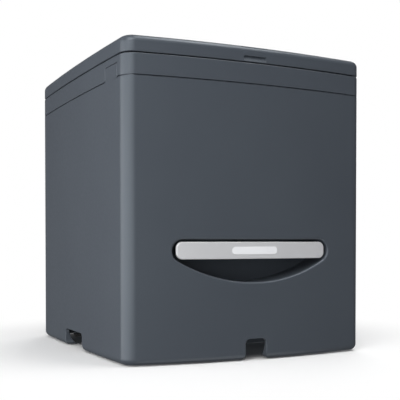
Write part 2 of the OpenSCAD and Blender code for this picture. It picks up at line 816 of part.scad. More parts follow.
// Ears under the bowl, and one under the deck, that carry the flap's pin
ear_in = trap_w / 2 + 9;
module trap_brackets() {
    under = bowl_z - bowl_wall;
    color("#e9ebea") difference() {
        union() {
            both_sides() sideways(ear_in, ear_in + 5) polygon([
                [trap_y, under], [flap_y - 26, under], [flap_y + 7, under - 2], [flap_y + 7, hinge_pin_z - 7],
                [flap_y - 7, hinge_pin_z - 7], [trap_y, under - 4]
            ]);
            sideways(lever_x - 17, lever_x - 12) polygon([
                [flap_y - 12, deck_z - deck_t], [flap_y + 12, deck_z - deck_t],
                [flap_y + 7, hinge_pin_z - 7], [flap_y - 7, hinge_pin_z - 7]
            ]);
            block(
                [lever_x - 27, lever_x - 12], [flap_y - 12, flap_y + 12],
                [deck_z - deck_t - 3, deck_z - deck_t]);
        }
        along_x(-ear_in - 10, lever_x, trap_pin_r + run_fit, flap_y, hinge_pin_z);
    }
}

trap_seal_t = 1.9;
module trap_flap() {
    top = bowl_z - bowl_wall - seat_fit - trap_seal_t;
    plate_w = trap_w + 12;
    front = trap_y - trap_l / 2 - 6;
    color("#d9dcdb") difference() {
        union() {
            translate([0, (front + flap_y) / 2, top - 3]) linear_extrude(3)
                round_rect(plate_w, flap_y - front, 5);
            along_x(-plate_w / 2, plate_w / 2, 5.5, flap_y, hinge_pin_z);
            // Stiffening ribs below the plate
            for (i = [-3, -1, 1, 3]) translate([i * trap_w / 9, 0, 0])
                block([-1, 1], [front + 8, flap_y], [top - 7, top - 2]);
        }
        along_x(-plate_w, plate_w, trap_pin_r, flap_y, hinge_pin_z);
    }
}
module trap_seal() {
    top = bowl_z - bowl_wall - seat_fit;
    color("#1c1d1f") translate([0, trap_y, top - trap_seal_t]) linear_extrude(trap_seal_t) difference() {
        round_rect(trap_w + 9, trap_l + 9, 18);
        round_rect(trap_w + 2, trap_l + 2, 15);
    }
}
module trap_pin() {
    color("#a7abb0") along_x(-ear_in - 7, lever_x + 4, trap_pin_r, flap_y, hinge_pin_z);
}
module trap_lever() {
    color("#b8b9bb") translate([lever_x, flap_y, hinge_pin_z]) rotate([-lever_tilt, 0, 0]) difference() {
        union() {
            along_x(-4, 4, 7);
            translate([-3, -4.5, 4]) cube([6, 9, lever_l - 8]);
            along_x(-6, 6, 7, 0, lever_l);
        }
        along_x(-10, 10, trap_pin_r);
    }
}

// ---------------------------------------------------------------- lid

lid_wall = 3;
lid_face_y = front_corner_y(lid_z) - bow(lid_z);
finger_depth = 3;
finger_slope = -atan2(finger_depth, finger_h);
ring_a = seat_a + 13;
ring_b = seat_b + 13;
ring_t = 5;
// Upright solid under the lid round the seat opening, drawn in by g
module seat_wall(z0, z1, g) {
    seat_solid([[z0, ring_a - g, ring_b - g, seat_y], [z1, ring_a - g, ring_b - g, seat_y]]);
}
bumper_h = 3.4;
module bumper_places() {
    both_sides() for (y = [corner_y + 34, rear_y - 40]) translate([corner_w / 2 - 26.2, y, 0]) children();
}

module lid() {
    inner_top = lid_top - lid_wall;
    color("#50555d") difference() {
        union() {
            difference() {
                shell_solid(concat(
                    [[lid_z, 1], [lid_z + 0.5, 0.3], [lid_z + 1.2, 0]],
                    round_over(lid_top, lid_round, 0, 5),
                    [[lid_top + 0.7 * lid_crown, lid_round + 46], [lid_top + lid_crown, lid_round + 104]]
                ));
                shell_solid([
                    [lid_z - 1, lid_wall], [inner_top - 6, lid_wall],
                    [inner_top - 1.6, lid_wall + 2], [inner_top, lid_wall + 6]
                ]);
            }
            // Ring that carries the seal, and the posts of the bumpers
            difference() {
                seat_wall(lid_z + 1, inner_top + 1, 0);
                seat_wall(lid_z, inner_top + 2, ring_t);
            }
            bumper_places() along_z(deck_z + seat_fit + bumper_h, inner_top + 1, 5);
            hinge_backing(lid_z + 1, inner_top + 1, 0);
            // Thicker wall behind the finger notch
            block([-finger_w / 2 - 3, finger_w / 2 + 3], [lid_face_y + 2, lid_face_y + 3 + finger_depth],
                [lid_z + 1, inner_top + 1]);
        }
        // Finger notch: undercut at its top, running out to nothing at the lid's lower edge
        intersection() {
            upright(front_y - 10, corner_y + 5) translate([0, lid_z + finger_h / 2 - 2])
                round_rect(finger_w, finger_h + 4, 2);
            translate([0, lid_face_y, lid_z]) rotate([finger_slope, 0, 0])
                block([-finger_w, finger_w], [-20, 0], [-5, 2 * finger_h]);
        }
        hinge_flats(lid_z - 2, lid_top - 2);
    }
}
module lid_seal() {
    color("#1c1d1f") difference() {
        seat_solid([
            [deck_z + seat_fit, ring_a - 1, ring_b - 1, seat_y],
            [lid_z + 1, ring_a, ring_b, seat_y]
        ]);
        seat_wall(deck_z, lid_z + 2, ring_t);
    }
}
module lid_bumpers() {
    color("#1c1d1f") bumper_places() translate([0, 0, deck_z + seat_fit]) {
        cylinder(r1 = 5, r2 = 6.5, h = 1);
        along_z(1, bumper_h, 6.5);
    }
}

// ---------------------------------------------------------------- hinges

module at_hinges() {
    both_sides() translate([hinge_x, 0, 0]) children();
}
// A leaf against the flat of a shell, with barrels at the axis height az and the given x spans
module hinge_leaf(z0, z1, az, spans) {
    near = az > z1 ? z1 : z0;
    web = (az > z1 ? -1 : 1) * (z1 - z0) / 5;
    difference() {
        union() {
            block([-leaf_w / 2, leaf_w / 2], [flat_y, flat_y + leaf_t], [z0, z1]);
            for (s = spans) {
                along_x(s[0], s[1], barrel_r, hinge_y, az);
                // Web from the barrel to the near edge of the leaf
                sideways(s[0], s[1]) polygon([
                    [flat_y, near], [flat_y, near + web], [flat_y + leaf_t, near + web],
                    [hinge_y + barrel_r * 0.9, az], [hinge_y, az]
                ]);
            }
        }
        along_x(-leaf_w, leaf_w, hinge_pin_r + run_fit, hinge_y, az);
        for (x = [-leaf_w / 2 + 6, leaf_w / 2 - 6])
            along_y(flat_y - 5, flat_y + 20, screw_r + screw_fit, x, (z0 + z1) / 2);
    }
}
knuckle = 8;
outer_spans = [[-leaf_w / 2, -knuckle - 0.4], [knuckle + 0.4, leaf_w / 2]];
inner_span = [[-knuckle, knuckle]];

module tub_hinge_leaves() {
    color("#3c3f45") at_hinges() hinge_leaf(tub_top - 32, tub_top - 8, seam_z, inner_span);
}
module seat_hinge_leaves() {
    mid = (seam_z + gap_z) / 2;
    color("#3c3f45") at_hinges() difference() {
        union() {
            hinge_leaf(seam_z + 7, gap_z - 7, seam_z, outer_spans);
            hinge_leaf(seam_z + 7, gap_z - 7, gap_z, outer_spans);
        }
        along_x(-leaf_w, leaf_w, hinge_pin_r + run_fit, hinge_y, seam_z);
        along_x(-leaf_w, leaf_w, hinge_pin_r + run_fit, hinge_y, gap_z);
        for (x = [-leaf_w / 2 + 6, leaf_w / 2 - 6])
            along_y(flat_y - 5, flat_y + 20, screw_r + screw_fit, x, mid);
    }
}
module lid_hinge_leaves() {
    color("#3c3f45") at_hinges() hinge_leaf(lid_z + 2.5, lid_top - 2.5, gap_z, inner_span);
}
module hinge_pins(z) {
    at_hinges() {
        along_x(-leaf_w / 2 - 1, leaf_w / 2 + 1, hinge_pin_r, hinge_y, z);
        both_sides() along_x(leaf_w / 2 + 1, leaf_w / 2 + 2.5, hinge_pin_r + 1, hinge_y, z);
    }
}
module tub_hinge_pins() {
    color("#a7abb0") hinge_pins(seam_z);
}
module lid_hinge_pins() {
    color("#a7abb0") hinge_pins(gap_z);
}
module leaf_screws(z) {
    at_hinges() for (x = [-leaf_w / 2 + 6, leaf_w / 2 - 6])
        translate([x, flat_y + leaf_t, z]) rotate([-90, 0, 0]) pan_screw(leaf_t);
}
module tub_hinge_screws() {
    color("#a7abb0") leaf_screws(tub_top - 20);
}
module seat_hinge_screws() {
    color("#a7abb0") leaf_screws((seam_z + gap_z) / 2);
}
module lid_hinge_screws() {
    color("#a7abb0") leaf_screws((lid_z + lid_top) / 2);
}

// ---------------------------------------------------------------- fan, filter and vent

vent_r = collar_r - 3;
inlet_r = 6;
inlet_x = fan_w / 2 + 26;
plug_r = 2.9;
plug_l = 9;
fan_bore = fan_w / 2 - 2;
fan_hub = 15;
fan_hole = fan_w / 2 - 4.5;
module fan_screw_places() {
    for (i = [-1, 1], j = [-1, 1]) translate([i * fan_hole, 0, fan_z + j * fan_hole]) children();
}

module fan_frame() {
    color("#1f2124") difference() {
        union() {
            upright(fan_front, fan_rear) translate([0, fan_z]) difference() {
                round_rect(fan_w, fan_w, 5);
                circle(r = fan_bore);
            }
            // Spider and the fixed axle
            intersection() {
                for (a = [45, 135]) translate([0, 0, fan_z]) rotate([0, a, 0])
                    block([-fan_w, fan_w], [fan_rear - 3, fan_rear], [-3, 3]);
                along_y(fan_front, fan_rear, fan_bore + 2, 0, fan_z);
            }
            along_y(fan_rear - 4, fan_rear, fan_hub, 0, fan_z);
            along_y(fan_front + 4, fan_rear, 1.5, 0, fan_z);
        }
        fan_screw_places() along_y(fan_front - 1, fan_rear + 1, screw_r + screw_fit);
    }
}
module fan_impeller() {
    depth = fan_t - 8;
    color("#2b2d31") translate([0, fan_front + 2, fan_z]) difference() {
        union() {
            along_y(0, depth, fan_hub - 0.5);
            for (i = [0 : fan_blades - 1]) rotate([0, i * 360 / fan_blades, 0]) intersection() {
                translate([0, depth / 2, 0]) rotate([0, 0, 38]) translate([-0.9, -depth / 2 - 2, fan_hub - 3])
                    cube([1.8, depth + 4, fan_bore - fan_hub + 2]);
                along_y(1, depth - 1, fan_bore - 1);
            }
        }
        along_y(-1, depth + 1, 1.5 + run_fit);
    }
}
module fan_screws() {
    color("#a7abb0") fan_screw_places() translate([0, fan_front - filter_t, 0]) rotate([90, 0, 0])
        pan_screw(fan_t + filter_t);
}

module filter_cassette() {
    y0 = fan_front - filter_t;
    color("#2b2d31") difference() {
        upright(y0, fan_front) translate([0, fan_z]) round_rect(fan_w, fan_w, 5);
        upright(y0 + 2, fan_front + 1) translate([0, fan_z]) round_rect(fan_w - 16, fan_w - 16, 3);
        // Slots that let the air in
        for (i = [-3 : 3]) upright(y0 - 1, y0 + 3) translate([i * 8, fan_z]) round_rect(4, fan_w - 22, 1.9);
        fan_screw_places() along_y(y0 - 1, fan_front + 1, screw_r + screw_fit);
    }
}
module filter_pad() {
    color("#141414") upright(fan_front - filter_t + 2, fan_front - 0.5) translate([0, fan_z])
        round_rect(fan_w - 17, fan_w - 17, 2.5);
}

collar_y = back(fan_z) - flange_sink;
flange_r = collar_r + 11;
collar_end = collar_y + flange_t + collar_l;
module vent_collar() {
    color("#3c3f45") difference() {
        union() {
            along_y(fan_rear, collar_end, collar_r, 0, fan_z);
            along_y(collar_y, collar_y + flange_t, flange_r, 0, fan_z);
        }
        along_y(fan_rear - 1, collar_end + 1, vent_r, 0, fan_z);
        for (i = [0 : 3]) rotate_about(fan_z, 45 + 90 * i)
            along_y(collar_y - 1, collar_y + 5, screw_r + screw_fit, collar_r + 6, 0);
    }
}
module rotate_about(z, a) {
    translate([0, 0, z]) rotate([0, a, 0]) children();
}
module collar_screws() {
    color("#a7abb0") for (i = [0 : 3]) rotate_about(fan_z, 45 + 90 * i)
        translate([collar_r + 6, collar_y + flange_t, 0]) rotate([-90, 0, 0]) pan_screw(flange_t);
}
module power_inlet() {
    face = collar_y + 2;
    color("#1f2124") difference() {
        union() {
            along_y(fan_rear - 8, face, inlet_r - 0.1, inlet_x, fan_z);
            along_y(collar_y, face, inlet_r + 2.5, inlet_x, fan_z);
        }
        along_y(face - plug_l, face + 1, plug_r, inlet_x, fan_z);
    }
}
module inlet_nut() {
    color("#a7abb0") difference() {
        translate([inlet_x, fan_rear, fan_z]) rotate([90, 0, 0]) cylinder(r = inlet_r + 3.5, h = 3, $fn = 6);
        along_y(fan_rear - 5, fan_rear + 5, inlet_r - 0.1, inlet_x, fan_z);
    }
}
module fan_lead() {
    color("#1f2124") along_x(fan_w / 2, inlet_x - inlet_r, 1.6, fan_rear - 6, fan_z);
}

base_tub();
rubber_feet();
stem_bush();
handle_bar();
handle_grip();
handle_stem();
solids_bin();
bin_seal();
front_shaft_bush();
rear_shaft_bush();
shaft_seal();
agitator_shaft();
agitator_paddles();
liquid_bottle();
seat_housing();
diverter_bowl();
bowl_spout();
trap_brackets();
trap_flap();
trap_seal();
trap_pin();
trap_lever();
lid();
lid_seal();
lid_bumpers();
tub_hinge_leaves();
seat_hinge_leaves();
lid_hinge_leaves();
tub_hinge_pins();
lid_hinge_pins();
tub_hinge_screws();
seat_hinge_screws();
lid_hinge_screws();
fan_frame();
fan_impeller();
fan_screws();
filter_cassette();
filter_pad();
vent_collar();
collar_screws();
power_inlet();
inlet_nut();
fan_lead();
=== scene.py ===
import math

import bmesh
import bpy
from mathutils import Matrix, Vector


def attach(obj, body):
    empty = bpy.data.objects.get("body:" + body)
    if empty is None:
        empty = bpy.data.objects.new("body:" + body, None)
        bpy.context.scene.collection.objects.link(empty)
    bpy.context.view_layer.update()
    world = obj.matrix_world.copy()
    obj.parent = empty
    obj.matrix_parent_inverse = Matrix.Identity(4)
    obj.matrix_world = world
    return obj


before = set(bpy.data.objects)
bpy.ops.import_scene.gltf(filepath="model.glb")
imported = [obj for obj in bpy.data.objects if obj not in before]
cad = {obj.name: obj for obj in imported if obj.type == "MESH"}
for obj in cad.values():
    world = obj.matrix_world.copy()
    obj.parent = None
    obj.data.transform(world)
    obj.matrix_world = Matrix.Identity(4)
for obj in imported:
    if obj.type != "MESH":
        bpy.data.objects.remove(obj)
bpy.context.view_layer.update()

# ---------------------------------------------------------------- camera, studio and floor
# The camera stands where the photographer stood: low, in front and to the left, looking slightly up.
# A plain pale floor keeps the shadow near the toilet and fades to white further out.
scene = bpy.context.scene
scene.view_settings.view_transform = "Standard"
lens_mm = 68.658
eye = Vector((-0.5057, -1.1113, 0.1566))
yaw, pitch, roll = (math.radians(a) for a in (25.259, 3.186, -0.040))
ahead = Vector((math.sin(yaw) * math.cos(pitch), math.cos(yaw) * math.cos(pitch), math.sin(pitch)))
level = Vector((math.cos(yaw), -math.sin(yaw), 0.0))
over = level.cross(ahead)
right = level * math.cos(roll) + over * math.sin(roll)
above = over * math.cos(roll) - level * math.sin(roll)
camera = bpy.data.objects.new("camera", bpy.data.cameras.new("camera"))
camera.data.lens = lens_mm
camera.data.sensor_width = 36.0
camera.data.dof.use_dof = False
camera.data.clip_start = 0.05
camera.matrix_world = Matrix.Translation(eye) @ Matrix((right, above, -ahead)).transposed().to_4x4()
scene.collection.objects.link(camera)
scene.camera = camera


def softbox(name, place, aim, width, height, watts):
    """A large soft lamp that faces the point it is aimed at."""
    lamp = bpy.data.objects.new(name, bpy.data.lights.new(name, "AREA"))
    lamp.data.shape = "RECTANGLE"
    lamp.data.size, lamp.data.size_y, lamp.data.energy = width, height, watts
    lamp.location = place
    lamp.rotation_mode = "QUATERNION"
    lamp.rotation_quaternion = (Vector(aim) - Vector(place)).to_track_quat("-Z", "Y")
    scene.collection.objects.link(lamp)


# The left lamp stands square to the toilet's left side, near its front, and draws the bright line on the
# front corner. The others face the middle of the toilet.
middle = (0.0, 0.0, 0.22)
softbox("softbox_left", (-1.2, -0.33, 0.18), (0.0, -0.33, 0.18), width=2.0, height=1.05, watts=19.5)
softbox("softbox_key", (-1.1, -1.5, 1.7), middle, width=1.6, height=1.6, watts=39.4)
softbox("softbox_front", (-0.95, -1.75, 0.15), middle, width=0.7, height=0.7, watts=4.5)
softbox("softbox_top", (0.5, -0.5, 1.9), middle, width=0.9, height=0.9, watts=16.0)
softbox("softbox_low", (0.55, -1.0, -1.2), middle, width=1.2, height=1.2, watts=6.0)
softbox("softbox_back", (1.1, 1.6, 1.1), middle, width=1.5, height=1.5, watts=26.0)


def seen_directly(tree):
    """1 for what the camera sees, also through the milky bottle, and 0 for light that falls on things."""
    ray = tree.nodes.new("ShaderNodeLightPath")
    either = tree.nodes.new("ShaderNodeMath")
    either.operation = "MAXIMUM"
    tree.links.new(ray.outputs["Is Camera Ray"], either.inputs[0])
    tree.links.new(ray.outputs["Is Transmission Ray"], either.inputs[1])
    return either.outputs[0]


world = bpy.data.worlds.new("studio")
scene.world = world
world.use_nodes = True
sky = world.node_tree
room_light = sky.nodes["Background"]
room_light.inputs["Color"].default_value = (0.95, 0.97, 1.0, 1.0)
room_light.inputs["Strength"].default_value = 0.12
white_wall = sky.nodes.new("ShaderNodeBackground")
white_wall.inputs["Color"].default_value = (1.0, 1.0, 1.0, 1.0)
white_wall.inputs["Strength"].default_value = 1.0
choose = sky.nodes.new("ShaderNodeMixShader")
sky.links.new(seen_directly(sky), choose.inputs["Fac"])
sky.links.new(room_light.outputs[0], choose.inputs[1])
sky.links.new(white_wall.outputs[0], choose.inputs[2])
sky.links.new(choose.outputs[0], sky.nodes["World Output"].inputs["Surface"])

# The floor lies a hair below the feet. Lamps shine through it, and it turns into plain white between the
# end of the shadow and the place where the white starts.
floor_half, floor_drop = 12.0, 0.0002
shadow_end, white_start = 0.18, 0.52
floor_mesh = bpy.data.meshes.new("floor")
floor_shape = bmesh.new()
bmesh.ops.create_grid(floor_shape, x_segments=1, y_segments=1, size=floor_half)
floor_shape.to_mesh(floor_mesh)
floor_shape.free()
floor = bpy.data.objects.new("floor", floor_mesh)
floor.location.z = -floor_drop
scene.collection.objects.link(floor)
floor_paint = bpy.data.materials.new("floor_paint")
floor_paint.use_nodes = True
sheet = floor_paint.node_tree
matt = sheet.nodes["Principled BSDF"]
paper = sheet.nodes.new("ShaderNodeMix")
paper.data_type = "RGBA"
paper.inputs["A"].default_value = (0.86, 0.86, 0.86, 1.0)
paper.inputs["B"].default_value = (0.30, 0.30, 0.30, 1.0)
bounce = sheet.nodes.new("ShaderNodeLightPath")
sheet.links.new(bounce.outputs["Is Diffuse Ray"], paper.inputs["Factor"])
sheet.links.new(paper.outputs["Result"], matt.inputs["Base Color"])
matt.inputs["Roughness"].default_value = 0.9
matt.inputs["Specular IOR Level"].default_value = 0.1
glow = sheet.nodes.new("ShaderNodeEmission")
glow.inputs["Strength"].default_value = 1.0
where = sheet.nodes.new("ShaderNodeTexCoord")
reach = sheet.nodes.new("ShaderNodeVectorMath")
reach.operation = "LENGTH"
fade = sheet.nodes.new("ShaderNodeMapRange")
fade.interpolation_type = "SMOOTHSTEP"
fade.inputs["From Min"].default_value = shadow_end
fade.inputs["From Max"].default_value = white_start
fade_seen = sheet.nodes.new("ShaderNodeMath")
fade_seen.operation = "MULTIPLY"
blend_floor = sheet.nodes.new("ShaderNodeMixShader")
either_ray = sheet.nodes.new("ShaderNodeMath")
either_ray.operation = "MAXIMUM"
passing = sheet.nodes.new("ShaderNodeBsdfTransparent")
blend_rays = sheet.nodes.new("ShaderNodeMixShader")
sheet.links.new(where.outputs["Object"], reach.inputs[0])
sheet.links.new(reach.outputs["Value"], fade.inputs["Value"])
sheet.links.new(fade.outputs["Result"], fade_seen.inputs[0])
sheet.links.new(seen_directly(sheet), fade_seen.inputs[1])
sheet.links.new(fade_seen.outputs[0], blend_floor.inputs["Fac"])
sheet.links.new(matt.outputs[0], blend_floor.inputs[1])
sheet.links.new(glow.outputs[0], blend_floor.inputs[2])
sheet.links.new(bounce.outputs["Is Glossy Ray"], either_ray.inputs[0])
sheet.links.new(bounce.outputs["Is Shadow Ray"], either_ray.inputs[1])
sheet.links.new(either_ray.outputs[0], blend_rays.inputs["Fac"])
sheet.links.new(blend_floor.outputs[0], blend_rays.inputs[1])
sheet.links.new(passing.outputs[0], blend_rays.inputs[2])
sheet.links.new(blend_rays.outputs[0], sheet.nodes["Material Output"].inputs["Surface"])
floor.data.materials.append(floor_paint)

# ---------------------------------------------------------------- tub
# The tub is one thick injection moulding in dark blue-grey plastic with a fine, spark-eroded grain.
# Its edges are moulded with small radii, larger round the handle recess.


def moulded_grain():
    """Shared effect: the fine grain of a moulding, slow changes of tone and small flecks of gloss."""
    grain_height = 0.0002
    clouds_per_metre, flecks_per_metre = 7.0, 260.0
    group = bpy.data.node_groups.new("moulded grain", "ShaderNodeTree")
    for name in ("Grain size", "Depth"):
        group.interface.new_socket(name, in_out="INPUT", socket_type="NodeSocketFloat")
    group.interface.new_socket("Normal", in_out="OUTPUT", socket_type="NodeSocketVector")
    for name in ("Tone", "Gloss"):
        group.interface.new_socket(name, in_out="OUTPUT", socket_type="NodeSocketFloat")
    into = group.nodes.new("NodeGroupInput")
    out = group.nodes.new("NodeGroupOutput")
    place = group.nodes.new("ShaderNodeTexCoord")
    per_metre = group.nodes.new("ShaderNodeMath")
    per_metre.operation = "DIVIDE"
    per_metre.inputs[0].default_value = 1.0
    group.links.new(into.outputs["Grain size"], per_metre.inputs[1])
    grain = group.nodes.new("ShaderNodeTexNoise")
    grain.inputs["Detail"].default_value = 2.0
    bump = group.nodes.new("ShaderNodeBump")
    bump.inputs["Distance"].default_value = grain_height
    clouds = group.nodes.new("ShaderNodeTexNoise")
    clouds.inputs["Scale"].default_value = clouds_per_metre
    clouds.inputs["Detail"].default_value = 3.0
    flecks = group.nodes.new("ShaderNodeTexNoise")
    flecks.inputs["Scale"].default_value = flecks_per_metre
    flecks.inputs["Detail"].default_value = 1.0
    for texture in (grain, clouds, flecks):
        group.links.new(place.outputs["Object"], texture.inputs["Vector"])
    group.links.new(per_metre.outputs[0], grain.inputs["Scale"])
    group.links.new(grain.outputs["Fac"], bump.inputs["Height"])
    group.links.new(into.outputs["Depth"], bump.inputs["Strength"])
    group.links.new(bump.outputs["Normal"], out.inputs["Normal"])
    group.links.new(clouds.outputs["Fac"], out.inputs["Tone"])
    group.links.new(flecks.outputs["Fac"], out.inputs["Gloss"])
    return group


grain_group = moulded_grain()
noise_low, noise_high = 0.3, 0.7


def moulding(
        name, deep, pale, rough, grain_mm, depth, specular, coat=0.0, see_through=0.0,
        sheen=(1.0, 1.0, 1.0)):
    """A moulded plastic or rubber. Its tone drifts from deep to pale, and its gloss round rough."""
    gloss_drift = 0.06
    material = bpy.data.materials.new(name)
    material.use_nodes = True
    tree = material.node_tree
    shader = tree.nodes["Principled BSDF"]
    shader.inputs["Specular IOR Level"].default_value = specular
    shader.inputs["Specular Tint"].default_value = (*sheen, 1.0)
    shader.inputs["Coat Weight"].default_value = coat
    shader.inputs["Transmission Weight"].default_value = see_through
    effect = tree.nodes.new("ShaderNodeGroup")
    effect.node_tree = grain_group
    effect.inputs["Grain size"].default_value = grain_mm / 1000.0
    effect.inputs["Depth"].default_value = depth
    tone = tree.nodes.new("ShaderNodeMix")
    tone.data_type = "RGBA"
    tone.inputs["A"].default_value = (*deep, 1.0)
    tone.inputs["B"].default_value = (*pale, 1.0)
    spread = tree.nodes.new("ShaderNodeMapRange")
    gloss = tree.nodes.new("ShaderNodeMapRange")
    for stretch in (spread, gloss):
        stretch.inputs["From Min"].default_value = noise_low
        stretch.inputs["From Max"].default_value = noise_high
    gloss.inputs["To Min"].default_value = rough * (1.0 - gloss_drift)
    gloss.inputs["To Max"].default_value = rough * (1.0 + gloss_drift)
    tree.links.new(effect.outputs["Tone"], spread.inputs["Value"])
    tree.links.new(spread.outputs["Result"], tone.inputs["Factor"])
    tree.links.new(tone.outputs["Result"], shader.inputs["Base Color"])
    tree.links.new(effect.outputs["Gloss"], gloss.inputs["Value"])
    tree.links.new(gloss.outputs["Result"], shader.inputs["Roughness"])
    tree.links.new(effect.outputs["Normal"], shader.inputs["Normal"])
    return material


def edge_finder():
    """Joins the flat facets of a CAD mesh and marks its real edges, stronger inside the given box."""
    weld_distance = 0.000004
    group = bpy.data.node_groups.new("edge finder", "GeometryNodeTree")
    group.interface.new_socket("Geometry", in_out="INPUT", socket_type="NodeSocketGeometry")
    for name in ("Angle", "Weight", "Box weight"):
        group.interface.new_socket(name, in_out="INPUT", socket_type="NodeSocketFloat")
    for name in ("Box low", "Box high"):
        group.interface.new_socket(name, in_out="INPUT", socket_type="NodeSocketVector")
    group.interface.new_socket("Geometry", in_out="OUTPUT", socket_type="NodeSocketGeometry")
    into = group.nodes.new("NodeGroupInput")
    out = group.nodes.new("NodeGroupOutput")
    merge = group.nodes.new("GeometryNodeMergeByDistance")
    merge.inputs["Distance"].default_value = weld_distance
    fold = group.nodes.new("GeometryNodeInputMeshEdgeAngle")
    sharp = group.nodes.new("FunctionNodeCompare")
    sharp.data_type, sharp.operation = "FLOAT", "GREATER_THAN"
    place = group.nodes.new("GeometryNodeInputPosition")
    inside = None
    for bound, test in (("Box low", "GREATER_THAN"), ("Box high", "LESS_THAN")):
        check = group.nodes.new("FunctionNodeCompare")
        check.data_type, check.mode, check.operation = "VECTOR", "ELEMENT", test
        group.links.new(place.outputs[0], check.inputs["A"])
        group.links.new(into.outputs[bound], check.inputs["B"])
        if inside is None:
            inside = check
        else:
            both = group.nodes.new("FunctionNodeBooleanMath")
            both.operation = "AND"
            group.links.new(inside.outputs[0], both.inputs[0])
            group.links.new(check.outputs[0], both.inputs[1])
            inside = both
    weight = group.nodes.new("GeometryNodeSwitch")
    weight.input_type = "FLOAT"
    group.links.new(inside.outputs[0], weight.inputs["Switch"])
    group.links.new(into.outputs["Weight"], weight.inputs["False"])
    group.links.new(into.outputs["Box weight"], weight.inputs["True"])
    store = group.nodes.new("GeometryNodeStoreNamedAttribute")
    store.data_type, store.domain = "FLOAT", "EDGE"
    store.inputs["Name"].default_value = "bevel_weight_edge"
    smooth = group.nodes.new("GeometryNodeSetShadeSmooth")
    group.links.new(into.outputs["Geometry"], merge.inputs["Geometry"])
    group.links.new(merge.outputs["Geometry"], store.inputs["Geometry"])
    group.links.new(fold.outputs["Unsigned Angle"], sharp.inputs["A"])
    group.links.new(into.outputs["Angle"], sharp.inputs["B"])
    group.links.new(sharp.outputs[0], store.inputs["Selection"])
    group.links.new(weight.outputs[0], store.inputs["Value"])
    group.links.new(store.outputs["Geometry"], smooth.inputs["Geometry"])
    group.links.new(smooth.outputs["Geometry"], out.inputs["Geometry"])
    return group


edge_group = edge_finder()


